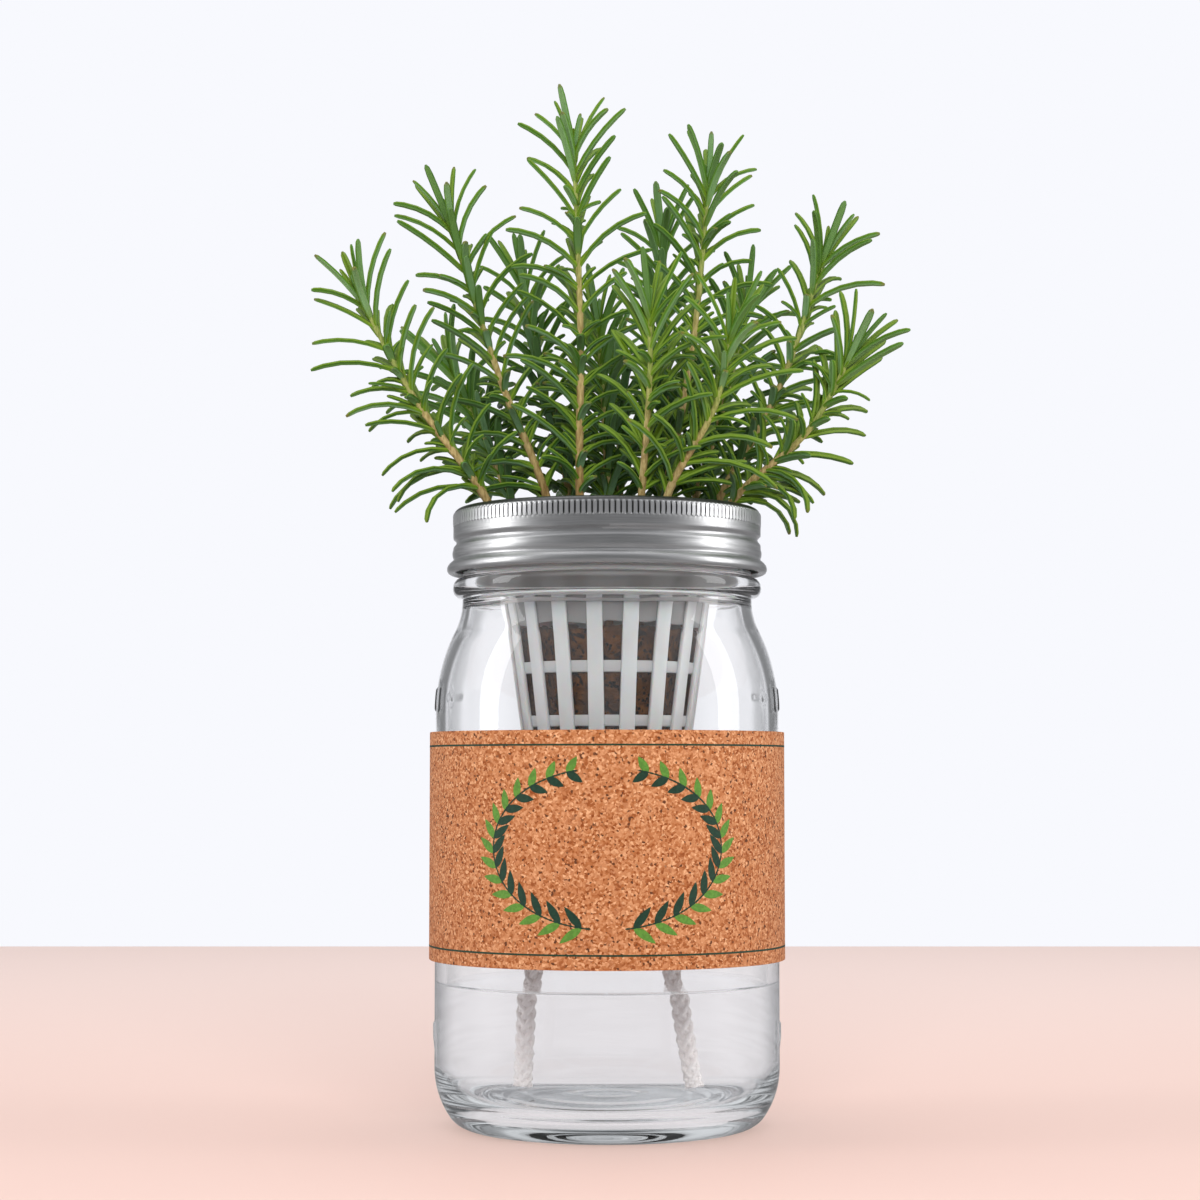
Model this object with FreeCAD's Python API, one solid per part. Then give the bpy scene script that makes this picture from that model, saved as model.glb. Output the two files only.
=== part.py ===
import FreeCAD, Part

import math
import os

from FreeCAD import Vector

# A wide-mouth glass preserving jar turned into a wick-fed herb planter.
# The jar stands on its foot ring with its axis on Z and the table at z = 0, all sizes in millimetres.
# A slotted net cup hangs in the jar's mouth by its flange, and the screw band holds the flange down.
# The cup carries a growing plug with the rosemary in it and two rope wicks that reach into the water.
# A cork sleeve wraps the jar's body. The front of the planter looks along -Y.

UP = Vector(0, 0, 1)
FULL_TURN = 360.0
HALF = 0.5

# Jar, blown glass
neck_radius = 41.3
glass_wall = 3.3
jar_height = 173.3
shoulder_width = 7.5          # how much further out the body stands than the neck
neck_height = 23.9            # the straight neck, from the rim down to where the shoulder ends
shoulder_round = 52.0         # radius of the shoulder's outward curve
shoulder_hollow = 21.7        # radius of the inward curve below the neck
foot_inset = 10.8             # from the body's side in to the ring that touches the table
foot_width = 4.0
foot_rise = 1.6               # how far the underside is pushed up inside the foot ring
foot_slope = 2.5
heel_low_radius = 8.0
heel_high_radius = 24.0
floor_height = 5.5
floor_heel_radius = 13.0
rim_bevel = 1.1
lip_bevel = 0.7
bead_rise = 2.8               # how far the glass ring under the thread stands off the neck
bead_drop = 21.1              # from the jar's rim down to the middle of that ring
bead_half_width = 2.7

# Raised marks on both sides of the jar
mark_rise = 0.4
mark_root = 0.5               # how deep a mark starts inside the glass
bar_rise = 3.5                # a level bar left and right, above the start of the shoulder
bar_width = 1.6
bar_turn = 60.5               # degrees from the front
bar_sweep = 9.0               # degrees of the jar's body that it covers
low_block_height = 26.3       # an upright block on each side, and another level with the bar
block_width = 6.4
block_turn = 87.0
block_sweep = 5.0

# Screw band, rolled tinplate
sheet = 0.45
band_gap = 2.7                # from the neck's glass to the outside of the band
band_lip_width = 5.5
band_corner = 1.5
band_height = 18.75
groove_drop = 9.65            # from the band's top down to the rolled groove that stiffens the skirt
groove_half_width = 1.5
groove_depth = 0.9
curl_radius = 1.8             # how far the bottom edge rolls outwards
curl_rise = 4.0               # height of the roll
knurl_count = 140
knurl_height = 3.6
knurl_drop = 1.75             # from the band's top down to the upper ends of the teeth
knurl_root = 0.05             # the teeth's roots stand this far off the skirt
knurl_rise = 0.35             # and their crests this far

# Net cup, translucent white plastic
flange_thickness = 1.2
flange_play = 0.5             # between the flange and the inside of the band
flange_chamfer = 0.9
collar_gap = 0.6              # between the collar and the jar's mouth
cup_wall = 1.2
cup_step_width = 6.6          # from the inside of the collar in to the outside of the slats
collar_depth = 25.3           # from the jar's rim down to the underside of the step
cup_step_thickness = 1.5
slats_depth = 50.3            # from the step down to the underside of the cup's base
cup_taper_share = 0.141       # how much the radius shrinks over each unit of height
cup_base_thickness = 1.5
slat_count = 18
slat_width = 4.3
slat_thickness = 1.3
slat_turn = -7.0              # degrees from the front to the nearest slat
ring_thickness = 0.9
ring_width = 3.2
ring_height_shares = (0.59, 0.296)   # of the slats' depth, up from the base
base_slot_count = 8
base_slot_width = 2.6
base_slot_inner = 4.5         # from the axis to the inner end of each slot
base_slot_web = 1.05          # left between a slot and a wick's hole
slat_seat = 0.4               # how far slats and rings run into what they join

# Growing plug, pressed coir
plug_gap = 0.3
plug_height = 41.3
plug_edge = 1.5

# Wicks, cotton rope
wick_diameter = 5.5
wick_grip = 0.12              # the cup's hole squeezes the rope by this much
wick_hole_share = 0.5776      # of the base's radius, from the axis to each wick's hole
bend_run_share = 0.45         # of the shorter run at each point of a wick's route, that its bend takes

# Water
water_level = 40.2
water_gap = 0.25              # kept between the water's solid and the glass
water_well_gap = 1.2          # room round each wick in the water's solid

# Cork sleeve
sleeve_low = 47.2
sleeve_high = 111.2
sleeve_gap = 0.7              # between the cork and the glass
cork_thickness = 1.0
seam_gap = 0.8

# Rosemary
canopy_spread = 76.0          # how far the sprigs' tips reach from the axis
canopy_height = 121.0         # how far they reach above the jar's rim
stem_foot_radius = 1.3
stem_tip_radius = 0.55
stem_sides = 5
stem_steps = 6
leaf_length = 25.0
leaf_width = 2.3
leaf_thickness = 1.0
leaf_spacing = 4.8            # along the stem from one pair of leaves to the next
leaf_clearance = 2.6          # kept between the middles of leaves on different sprigs
leaf_start = 4.0              # height above the rim of the lowest leaves
leaf_tip_length_share = 0.8   # length of the leaves at a sprig's tip
rim_guard = 1.6               # kept between a leaf's middle and the band
rim_test_count = 4            # points tested along each half of a leaf

# A leaf stands off its stem by one angle and arches over by another, both in degrees
leaf_stand_foot = 60.0        # at the foot of the stem
leaf_stand_tip = 24.0         # and at its tip
leaf_arch_foot = 46.0
leaf_arch_tip = 16.0
pair_turn = 113.0             # from each pair of leaves to the next
try_turn = 31.0
try_count = 4

overrun = 5.0                 # how far a cutter runs past the face it cuts

# Flats that make up each round stretch of a turned outline
heel_steps = 2
shoulder_steps = 4
hollow_steps = 2
floor_steps = 3
corner_steps = 2


def polar(radius, degrees, height=0.0):
    """A point at a radius, turned from the front (-Y) towards the right (+X)."""
    angle = math.radians(degrees)
    return Vector(radius * math.sin(angle), -radius * math.cos(angle), height)


def outline(*points):
    """A closed face in the XZ plane through points that are each a radius and a height."""
    corners = [Vector(r, 0, z) for r, z in points]
    return Part.Face(Part.makePolygon(corners + corners[:1]))


def turned(*points):
    """A solid of revolution about Z from the outline of its half section."""
    return outline(*points).revolve(Vector(), UP, FULL_TURN)


def arc_points(centre, radius, begin, finish, count):
    """Points along an arc about a centre, between two angles in degrees above level."""
    points = []
    for step in range(count + 1):
        angle = math.radians(begin + (finish - begin) * step / count)
        points.append((centre[0] + radius * math.cos(angle), centre[1] + radius * math.sin(angle)))
    return points


def tube(outer, inner, low, high):
    return turned((inner, low), (outer, low), (outer, high), (inner, high))


# Heights and radii that several pieces share
mouth_radius = neck_radius - glass_wall
collar_radius = mouth_radius - collar_gap
collar_inner = collar_radius - cup_wall
cup_top_radius = collar_inner - cup_step_width
body_radius = neck_radius + shoulder_width
foot_radius = body_radius - foot_inset
bead_radius = neck_radius + bead_rise
band_radius = neck_radius + band_gap
band_mouth_radius = band_radius - band_lip_width
rim_top = jar_height
bead_height = rim_top - bead_drop
neck_start = rim_top - neck_height
shoulder_angle = math.degrees(
    math.acos(1 - (body_radius - neck_radius) / (shoulder_round + shoulder_hollow)))
shoulder_start = neck_start - (shoulder_round + shoulder_hollow) * math.sin(math.radians(shoulder_angle))
bar_height = shoulder_start + bar_rise
flange_top = rim_top + flange_thickness
flange_radius = band_radius - sheet - flange_play
band_top = flange_top + sheet
band_low = band_top - band_height
groove_height = band_top - groove_drop
knurl_low = band_top - knurl_drop - knurl_height
cup_step_height = rim_top - collar_depth
collar_bottom = cup_step_height + cup_step_thickness * 2
cup_base_height = cup_step_height - slats_depth
sleeve_inner = body_radius + sleeve_gap
sleeve_radius = sleeve_inner + cork_thickness


def cup_radius(height):
    """Outside radius of the net cup's slats at a height."""
    return cup_top_radius - cup_taper_share * (cup_step_height - height)


def cup_inner(height):
    return cup_radius(height) - slat_thickness - ring_thickness + slat_seat


wick_hole_offset = cup_radius(cup_base_height) * wick_hole_share
base_slot_outer = wick_hole_offset - wick_diameter * HALF - base_slot_web


def glass_jar():
    """The jar: one turned section with a bead under the neck, and the raised marks on its sides."""
    round_centre = (body_radius - shoulder_round, shoulder_start)
    hollow_centre = (neck_radius + shoulder_hollow, neck_start)
    heel_split = math.acos((foot_radius - body_radius + heel_high_radius)
                           / (heel_high_radius - heel_low_radius))
    heel_split_deg = math.degrees(heel_split)
    low_centre = (foot_radius, heel_low_radius)
    high_centre = (body_radius - heel_high_radius,
                   heel_low_radius + (heel_high_radius - heel_low_radius) * math.sin(heel_split))
    foot_inner = foot_radius - foot_width
    inner_radius = body_radius - glass_wall
    floor_centre = (inner_radius - floor_heel_radius, floor_height + floor_heel_radius)
    jar = turned(
        (0.0, foot_rise),
        (foot_inner - foot_slope, foot_rise),
        (foot_inner, 0.0),
        *arc_points(low_centre, heel_low_radius, -90.0, -heel_split_deg, heel_steps),
        *arc_points(high_centre, heel_high_radius, -heel_split_deg, 0.0, heel_steps)[1:],
        *arc_points(round_centre, shoulder_round, 0.0, shoulder_angle, shoulder_steps),
        *arc_points(hollow_centre, shoulder_hollow, 180.0 + shoulder_angle, 180.0, hollow_steps)[1:],
        (neck_radius, bead_height - bead_half_width),
        (bead_radius, bead_height - bead_half_width * HALF),
        (bead_radius, bead_height + bead_half_width * HALF),
        (neck_radius, bead_height + bead_half_width),
        (neck_radius, rim_top - rim_bevel),
        (neck_radius - rim_bevel, rim_top),
        (mouth_radius + lip_bevel, rim_top),
        (mouth_radius, rim_top - lip_bevel),
        *arc_points(hollow_centre, shoulder_hollow + glass_wall, 180.0, 180.0 + shoulder_angle,
                    hollow_steps),
        *arc_points(round_centre, shoulder_round - glass_wall, shoulder_angle, 0.0, shoulder_steps)[1:],
        *arc_points(floor_centre, floor_heel_radius, 0.0, -90.0, floor_steps),
        (0.0, floor_height),
    )
    marks = []
    for side in (-1, 1):
        marks.append(raised_mark(bar_height, bar_width, side * bar_turn, bar_sweep))
        for height in (low_block_height, bar_height):
            marks.append(raised_mark(height, block_width, side * block_turn, block_sweep))
    return jar.multiFuse(marks)


def outside_radius(height):
    """The jar's outside radius on its straight body and on the round of its shoulder."""
    up = max(0, height - shoulder_start)
    return body_radius - shoulder_round + math.sqrt(shoulder_round ** 2 - up ** 2)


def raised_mark(height, width, turn, sweep):
    """A mark that follows the glass, its middle at a height and a turn from the front."""
    low, high = height - width * HALF, height + width * HALF
    section = outline(
        (outside_radius(low) - mark_root, low), (outside_radius(low) + mark_rise, low),
        (outside_radius(high) + mark_rise, high), (outside_radius(high) - mark_root, high))
    mark = section.revolve(Vector(), UP, sweep)
    mark.rotate(Vector(), UP, turn - FULL_TURN / 4 - sweep * HALF)
    return mark


def screw_band():
    """The band: a lip over the flange, a knurled edge, a skirt with a rolled groove and a rolled foot."""
    corner = band_radius - band_corner, band_top - band_corner

    def skin(inset):
        """The sheet's face from the lip down to the roll, at a depth below the outer face."""
        face = band_radius - inset
        return (
            *arc_points(corner, band_corner - inset, 90.0, 0.0, corner_steps),
            (face, groove_height + groove_half_width),
            (face - groove_depth, groove_height),
            (face, groove_height - groove_half_width),
            (face, band_low + curl_rise - inset),
        )
    edge = band_radius + curl_radius
    band = turned(
        (band_mouth_radius, band_top),
        *skin(0.0),
        (edge - sheet, band_low + curl_rise - sheet),
        (edge, band_low + curl_rise * HALF),
        (edge - sheet, band_low),
        (band_radius, band_low),
        (band_radius, band_low + sheet),
        (edge - sheet * 2, band_low + sheet),
        (edge - sheet, band_low + curl_rise * HALF),
        (edge - sheet * 2, band_low + curl_rise - sheet * 2),
        *reversed(skin(sheet)),
        (band_mouth_radius, flange_top),
    )
    points = []
    for tooth in range(knurl_count):
        angle = FULL_TURN * tooth / knurl_count
        points.append(polar(band_radius + knurl_root, angle, knurl_low))
        points.append(polar(band_radius + knurl_rise, angle + FULL_TURN * HALF / knurl_count, knurl_low))
    star = Part.Face(Part.makePolygon(points + points[:1])).extrude(UP * knurl_height)
    core = Part.makeCylinder(band_radius - sheet * HALF, knurl_height + overrun * 2,
                             Vector(0, 0, knurl_low - overrun))
    return band.fuse(star.cut(core))


def net_cup():
    """The cup: flange, collar, step, a ring of slats with hoops inside them, and a slotted base."""
    step_top = cup_step_height + cup_step_thickness
    step_inner = cup_inner(cup_step_height)
    cup = turned(
        (collar_inner, flange_top),
        (collar_inner, collar_bottom),
        (step_inner, step_top),
        (step_inner, cup_step_height),
        (cup_radius(cup_step_height), cup_step_height),
        (collar_radius, collar_bottom - cup_step_thickness),
        (collar_radius, rim_top),
        (flange_radius, rim_top),
        (flange_radius, flange_top - flange_chamfer),
        (flange_radius - flange_chamfer, flange_top),
    )
    base_top = cup_base_height + cup_base_thickness
    pieces = []
    for share in ring_height_shares:
        low = cup_base_height + slats_depth * share
        high = low + ring_width
        hoop_out_low = cup_radius(low) - slat_thickness + slat_seat
        hoop_out_high = cup_radius(high) - slat_thickness + slat_seat
        pieces.append(turned((cup_inner(low), low), (hoop_out_low, low),
                             (hoop_out_high, high), (cup_inner(high), high)))
    rim_high = cup_base_height + ring_width
    pieces.append(turned(
        (0.0, cup_base_height),
        (cup_radius(cup_base_height) - slat_thickness + slat_seat, cup_base_height),
        (cup_radius(rim_high) - slat_thickness + slat_seat, rim_high),
        (cup_inner(rim_high), rim_high),
        (cup_inner(base_top), base_top),
        (0.0, base_top)))
    slat_low, slat_high = cup_base_height, cup_step_height + slat_seat
    slat = outline(
        (cup_radius(slat_low) - slat_thickness, slat_low), (cup_radius(slat_low), slat_low),
        (cup_radius(slat_high), slat_high), (cup_radius(slat_high) - slat_thickness, slat_high))
    slat.translate(Vector(0, -slat_width * HALF, 0))
    slat = slat.extrude(Vector(0, slat_width, 0))
    for place in range(slat_count):
        turn = slat_turn + FULL_TURN * place / slat_count - 90.0
        pieces.append(slat.rotated(Vector(), UP, turn))
    cup = cup.multiFuse(pieces)
    cutters = []
    for place in range(base_slot_count):
        slot = Part.makeBox(base_slot_outer - base_slot_inner, base_slot_width,
                            cup_base_thickness + overrun * 2,
                            Vector(base_slot_inner, -base_slot_width * HALF, cup_base_height - overrun))
        cutters.append(slot.rotated(Vector(), UP, FULL_TURN * place / base_slot_count))
    hole_radius = wick_diameter * HALF - wick_grip
    for side in (-1, 1):
        cutters.append(Part.makeCylinder(hole_radius, cup_base_thickness + overrun * 2,
                                         Vector(side * wick_hole_offset, 0, cup_base_height - overrun)))
    return cup.cut(Part.makeCompound(cutters))


def plug_radius(height):
    return cup_inner(height) - plug_gap


plug_bottom = cup_base_height + cup_base_thickness
plug_top = plug_bottom + plug_height


def growing_plug():
    """A tapered plug that fills the slatted part of the cup, with a soft edge round its top."""
    return turned(
        (0.0, plug_bottom),
        (plug_radius(plug_bottom), plug_bottom),
        (plug_radius(plug_top - plug_edge), plug_top - plug_edge),
        (plug_radius(plug_top) - plug_edge, plug_top),
        (0.0, plug_top),
    )


# The points that each wick follows, from under the plug to its cut end near the jar's floor.
# Across, they are multiples of the wick holes' offset, and up, shares of the plug's height.
wick_shares = {
    "wick_left": (
        (-1.0, 0.0, 1.0), (-1.015, 0.0, 0.867), (-1.215, -0.092, 0.726), (-1.431, -0.154, 0.585),
        (-1.608, -0.2, 0.4435), (-1.6615, -0.185, 0.272), (-1.723, -0.215, 0.0968)),
    "wick_right": (
        (1.0, 0.0, 1.0), (1.008, 0.0, 0.877), (1.092, -0.0615, 0.746), (1.223, -0.138, 0.605),
        (1.3846, -0.185, 0.4637), (1.554, -0.169, 0.282), (1.8, -0.215, 0.0927)),
}
wick_routes = {}
for wick_name, wick_points in wick_shares.items():
    wick_routes[wick_name] = [
        Vector(x * wick_hole_offset, y * wick_hole_offset, z * plug_bottom) for x, y, z in wick_points]


def rope_route(points):
    """Straight runs through the points, joined by arcs as large as the runs allow."""
    edges = []
    here = points[0]
    tightest = None
    for before, corner, after in zip(points, points[1:], points[2:]):
        arrive = (corner - before).normalize()
        leave = (after - corner).normalize()
        run = min((corner - before).Length, (after - corner).Length)
        setback = bend_run_share * run
        begin, end = corner - arrive * setback, corner + leave * setback
        turn = arrive.getAngle(leave)
        radius = setback / math.tan(turn * HALF)
        tightest = radius if tightest is None else min(tightest, radius)
        middle_way = (leave - arrive).normalize()
        middle = corner + middle_way * (radius / math.cos(turn * HALF) - radius)
        edges.append(Part.LineSegment(here, begin).toShape())
        edges.append(Part.Arc(begin, middle, end).toShape())
        here = end
    edges.append(Part.LineSegment(here, points[-1]).toShape())
    return Part.Wire(edges), tightest


def rope(points, radius):
    route, tightest = rope_route(points)
    start = (points[1] - points[0]).normalize()
    section = Part.Wire(Part.Circle(points[0], start, radius).toShape())
    solid = route.makePipeShell([section], True, False)
    return solid, route.Length, tightest


def wick(name):
    """A rope along its route, cut off level under the plug."""
    points = wick_routes[name]
    solid, length, tightest = rope(points, wick_diameter * HALF)
    expected = math.pi * (wick_diameter * HALF) ** 2 * length
    print(name, "length", round(length, 1), "tightest bend", round(tightest, 1),
          "volume over section times length", round(solid.Volume / expected, 4))
    top = Part.makeBox(wick_diameter * 4, wick_diameter * 4, wick_diameter * 2,
                       points[0] - Vector(wick_diameter * 2, wick_diameter * 2, 0))
    return solid.cut(top)


def water():
    """What the jar holds: it fills the floor and the heel, with a well round each wick."""
    inner_radius = body_radius - glass_wall - water_gap
    low = floor_height + water_gap
    heel = floor_heel_radius - water_gap
    fill = turned(
        (0.0, low),
        *arc_points((inner_radius - heel, low + heel), heel, -90.0, 0.0, floor_steps),
        (inner_radius, water_level),
        (0.0, water_level),
    )
    wells = []
    for points in wick_routes.values():
        last = (points[-1] - points[-2]).normalize()
        longer = points[:-1] + [points[-1] + last * water_well_gap]
        wells.append(rope(longer, wick_diameter * HALF + water_well_gap)[0])
    return fill.cut(Part.makeCompound(wells))


def cork_sleeve():
    """A strip of sheet cork wrapped round the jar, its two ends meeting in a seam at the back."""
    ring = tube(sleeve_radius, sleeve_inner, sleeve_low, sleeve_high)
    seam = Part.makeBox(seam_gap, overrun * 2 + cork_thickness, sleeve_high - sleeve_low + overrun * 2,
                        Vector(-seam_gap * HALF, sleeve_inner - overrun, sleeve_low - overrun))
    return ring.cut(seam)


# Where each sprig grows. Feet are shares of the plug's top, rim places are shares of the collar's
# inside, and the middles and tips are shares of the canopy's spread and of its height above the rim.
sprig_shares = {
    "far_left": ((-0.82, -0.10), (-0.91, -0.11), (-0.73, -0.11, 0.28), (-0.97, -0.13, 0.565)),
    "left": ((-0.52, 0.08), (-0.45, 0.08), (-0.41, 0.11, 0.34), (-0.64, 0.16, 0.79)),
    "tall": ((-0.14, -0.12), (-0.21, -0.14), (-0.10, -0.04, 0.43), (-0.13, 0.00, 0.955)),
    "tall_right": ((0.26, 0.22), (0.43, 0.25), (0.33, 0.16, 0.42), (0.405, 0.19, 0.89)),
    "right": ((0.63, 0.19), (0.84, 0.22), (0.67, 0.16, 0.33), (0.875, 0.20, 0.715)),
    "far_right": ((0.86, -0.10), (0.95, -0.14), (0.76, -0.13, 0.20), (0.95, -0.19, 0.42)),
    "front": ((0.26, -0.32), (0.26, -0.45), (0.157, -0.32, 0.31), (0.15, -0.36, 0.52)),
    "front_right": ((0.62, -0.27), (0.45, -0.50), (0.40, -0.37, 0.24), (0.46, -0.43, 0.455)),
    "back_left": ((-0.52, 0.45), (-0.28, 0.52), (-0.25, 0.40, 0.35), (-0.35, 0.48, 0.68)),
    "back_right": ((0.34, 0.56), (0.45, 0.68), (0.23, 0.45, 0.43), (0.22, 0.53, 0.79)),
    "behind_right": ((0.64, 0.53), (0.68, 0.51), (0.47, 0.40, 0.32), (0.58, 0.48, 0.61)),
    "behind_left": ((-0.80, 0.30), (-0.74, 0.42), (-0.51, 0.35, 0.25), (-0.67, 0.48, 0.455)),
    "middle": ((-0.14, 0.22), (0.00, 0.23), (-0.01, 0.19, 0.26), (-0.04, 0.27, 0.55)),
    "rear": ((0.02, 0.76), (0.10, 0.78), (0.05, 0.56, 0.26), (0.00, 0.72, 0.50)),
}


def stem_line(shares):
    """Evenly spaced points from a sprig's foot on the plug to its tip, on one smooth curve."""
    foot, rim, middle, tip = shares
    top_radius = plug_radius(plug_top)
    knots = [
        Vector(foot[0] * top_radius, foot[1] * top_radius, plug_top),
        Vector(rim[0] * collar_inner, rim[1] * collar_inner, band_top),
        Vector(middle[0] * canopy_spread, middle[1] * canopy_spread, rim_top + middle[2] * canopy_height),
        Vector(tip[0] * canopy_spread, tip[1] * canopy_spread, rim_top + tip[2] * canopy_height),
    ]
    curve = Part.BSplineCurve()
    curve.interpolate(knots)
    return curve.discretize(stem_steps + 1)


def place_on(line, share):
    """The point at a share of a stem's length, and the stem's direction there."""
    step = min(int(share * stem_steps), stem_steps - 1)
    low, high = line[step], line[step + 1]
    return low + (high - low) * (share * stem_steps - step), (high - low).normalize()


def across(along):
    """Two directions square to a stem and to each other."""
    side = along.cross(Vector(0, 1, 0)).normalize()
    return side, side.cross(along).normalize()


def ring_of(centre, side, lift, radius):
    """The corners of a stem's section, across the two given directions."""
    points = []
    for corner in range(stem_sides):
        angle = 2 * math.pi * corner / stem_sides
        points.append(centre + (side * math.cos(angle) + lift * math.sin(angle)) * radius)
    return points


def skinned(start, rings, tip):
    """A solid with flat triangles between its rings, closed by a point or a flat face, and by a tip."""
    faces = []

    def triangle(a, b, c):
        faces.append(Part.Face(Part.makePolygon([a, b, c, a])))

    sides = [(corner, (corner + 1) % len(rings[0])) for corner in range(len(rings[0]))]
    if start is None:
        faces.append(Part.Face(Part.makePolygon(rings[0] + rings[0][:1])))
    else:
        for a, b in sides:
            triangle(start, rings[0][a], rings[0][b])
    for low, high in zip(rings, rings[1:]):
        for a, b in sides:
            triangle(low[a], low[b], high[b])
            triangle(low[a], high[b], high[a])
    for a, b in sides:
        triangle(rings[-1][a], rings[-1][b], tip)
    solid = Part.Solid(Part.Shell(faces))
    if solid.Volume < 0:
        solid.reverse()
    return solid


def stem(line):
    """The woody stem, a tapering polygon that stands flat on the plug."""
    rings = []
    for step, centre in enumerate(line[:-1]):
        along = (line[step + 1] - line[step - 1]).normalize() if step else UP
        radius = stem_foot_radius + (stem_tip_radius - stem_foot_radius) * step / stem_steps
        rings.append(ring_of(centre, *across(along), radius))
    return skinned(None, rings, line[-1])


def leaf_line(root, along, out, share, length):
    """Root, middle and tip of a leaf that leaves the stem and arches outwards."""
    stand = math.radians(leaf_stand_foot + (leaf_stand_tip - leaf_stand_foot) * share)
    arch = math.radians(leaf_arch_foot + (leaf_arch_tip - leaf_arch_foot) * share)
    first = along * math.cos(stand) + out * math.sin(stand)
    then = along * math.cos(stand + arch) + out * math.sin(stand + arch)
    middle = root + first * (length * HALF)
    return root, middle, middle + then * (length * HALF)


def leaf(line):
    """A needle leaf: three-sided, widest at its middle, keeled underneath and pointed at both ends."""
    root, middle, tip = line
    along = (middle - root).normalize()
    bend = (tip - middle).normalize()
    side = along.cross(bend).normalize()
    keel = side.cross((along + bend).normalize()) * leaf_thickness
    ring = [middle + side * (leaf_width * HALF), middle - side * (leaf_width * HALF), middle + keel]
    return skinned(root, [ring], tip)


def segment_gap(a, b):
    """Least distance between two short segments, each a pair of points."""
    return Part.LineSegment(*a).toShape().distToShape(Part.LineSegment(*b).toShape())[0]


def near(a, b, reach):
    """Whether two segments' boxes come within a reach of each other."""
    return all(
        min(a[0][k], a[1][k]) - reach <= max(b[0][k], b[1][k])
        and min(b[0][k], b[1][k]) - reach <= max(a[0][k], a[1][k])
        for k in range(3))


def clear_of_rim(line):
    """A leaf stays above the band's lip, or hangs outside its skirt."""
    root, middle, tip = line
    for a, b in ((root, middle), (middle, tip)):
        for test in range(1, rim_test_count + 1):
            point = a + (b - a) * (test / rim_test_count)
            radius = math.hypot(point.x, point.y)
            over = point.z > band_top + rim_guard
            outside = radius > band_radius + curl_radius + rim_guard
            if not (over or outside):
                return False
    return True


def leaf_lines(name, line, taken):
    """The leaves of one sprig: crossed pairs, each leaf turned until it clears the other sprigs."""
    others = [run for owner, run in taken if owner != name]
    pairs = int((line[0] - line[-1]).Length / leaf_spacing)
    for pair in range(pairs):
        share = pair / pairs
        root, along = place_on(line, share)
        if root.z < rim_top + leaf_start:
            continue
        side, lift = across(along)
        size = leaf_length * (1 - (1 - leaf_tip_length_share) * share ** 3)
        for twin in range(2):
            for attempt in range(try_count):
                turn = math.radians(pair * pair_turn + twin * FULL_TURN * HALF + attempt * try_turn)
                out = side * math.cos(turn) + lift * math.sin(turn)
                found = leaf_line(root, along, out, share, size)
                if clear_of_rim(found) and all(
                        segment_gap(a, b) > leaf_clearance
                        for a in zip(found, found[1:]) for b in others if near(a, b, leaf_clearance)):
                    yield found
                    break


def rosemary():
    """Every sprig as one solid, its stem and leaves fused, clear of the other sprigs."""
    lines = {name: stem_line(shares) for name, shares in sprig_shares.items()}
    taken = [(name, run) for name, line in lines.items() for run in zip(line, line[1:])]
    sprigs = {}
    for name, line in lines.items():
        found = list(leaf_lines(name, line, taken))
        taken += [(name, run) for leaf_run in found for run in zip(leaf_run, leaf_run[1:])]
        sprigs[name] = stem(line).multiFuse([leaf(leaf_run) for leaf_run in found])
        print(name, "leaves", len(found))
    return sprigs


def main():
    os.makedirs("parts", exist_ok=True)
    pieces = {
        "glass_jar": glass_jar(),
        "screw_band": screw_band(),
        "net_cup": net_cup(),
        "growing_plug": growing_plug(),
        "wick_left": wick("wick_left"),
        "wick_right": wick("wick_right"),
        "water": water(),
        "cork_sleeve": cork_sleeve(),
    }
    for name, sprig in rosemary().items():
        pieces["sprig_" + name] = sprig
    for name, shape in pieces.items():
        if not shape.isValid() or any(solid.Volume <= 0 for solid in shape.Solids):
            print("check", name, "valid", shape.isValid())
        print(name, "solids", len(shape.Solids), "faces", len(shape.Faces), "volume", round(shape.Volume))
        shape.exportStep(os.path.join("parts", name + ".step"))


main()
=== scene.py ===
import random
from math import atan2, copysign, cos, degrees, exp, hypot, pi, radians, sin, sqrt

import bmesh
import bpy
from mathutils import Matrix, Vector, geometry, noise


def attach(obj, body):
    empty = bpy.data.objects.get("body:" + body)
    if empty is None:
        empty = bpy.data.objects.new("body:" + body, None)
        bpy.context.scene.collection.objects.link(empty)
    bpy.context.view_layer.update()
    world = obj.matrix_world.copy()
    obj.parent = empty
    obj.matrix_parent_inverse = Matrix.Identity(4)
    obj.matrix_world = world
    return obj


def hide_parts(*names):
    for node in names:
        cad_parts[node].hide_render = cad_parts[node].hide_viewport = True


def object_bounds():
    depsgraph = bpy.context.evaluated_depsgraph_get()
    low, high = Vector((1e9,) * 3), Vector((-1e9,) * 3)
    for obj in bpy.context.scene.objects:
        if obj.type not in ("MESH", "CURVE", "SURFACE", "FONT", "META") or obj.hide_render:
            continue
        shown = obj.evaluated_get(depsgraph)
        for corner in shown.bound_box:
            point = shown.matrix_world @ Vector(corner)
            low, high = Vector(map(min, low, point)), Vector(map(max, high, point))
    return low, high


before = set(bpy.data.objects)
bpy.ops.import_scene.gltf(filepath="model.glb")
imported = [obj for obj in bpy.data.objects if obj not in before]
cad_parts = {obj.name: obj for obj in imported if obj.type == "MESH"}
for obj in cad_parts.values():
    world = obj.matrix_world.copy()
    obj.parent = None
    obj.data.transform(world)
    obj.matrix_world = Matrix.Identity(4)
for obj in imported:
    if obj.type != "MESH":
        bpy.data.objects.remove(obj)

cad_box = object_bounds()

# The view: a camera on a stand in front of the planter, level with the middle of the jar and
# tipped up a little, on a long lens that keeps the jar's sides upright.
MM = 0.001
scene = bpy.context.scene


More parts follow.
